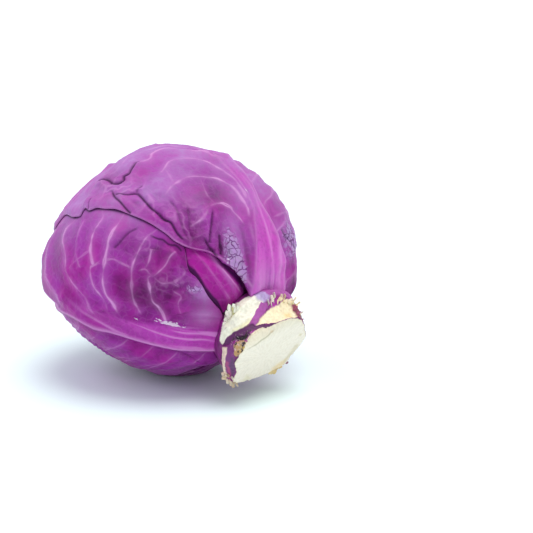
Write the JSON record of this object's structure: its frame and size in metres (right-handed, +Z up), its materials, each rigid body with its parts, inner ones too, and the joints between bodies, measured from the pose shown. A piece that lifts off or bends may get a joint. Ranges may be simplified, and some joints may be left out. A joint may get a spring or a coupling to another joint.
{
  "type": "red cabbage head",
  "caption": "Red cabbage head lying on its side: round packed head, overlapping veined wrapper leaves and a cut stem with leaf scars.",
  "frame": {"origin": "on the surface that the head lies on, under the middle of the whole piece", "axes": "+X the way the cut stem points, seen from above; +Z up; the head lies on its side with the stem dipping towards the surface"},
  "size_m": [0.1694, 0.1504, 0.1417],
  "materials": {
    "inner_leaves": "deep magenta, smooth and softly glossy leaf skin",
    "wrapper_leaves": "violet leaf skin with paler raised veins and a thin bluish waxy bloom",
    "stem": "pale cream cut flesh with strips of purple skin and brownish scars, matt and moist"
  },
  "bodies": {
    "root": {"inner_head": "inner_leaves", "inner_leaf_front": "inner_leaves", "inner_leaf_back": "inner_leaves", "inner_leaf_under": "inner_leaves", "wrapper_leaf_under": "wrapper_leaves", "wrapper_leaf_front": "wrapper_leaves", "wrapper_leaf_top": "wrapper_leaves", "stem": "stem"}
  },
  "joints": []
}
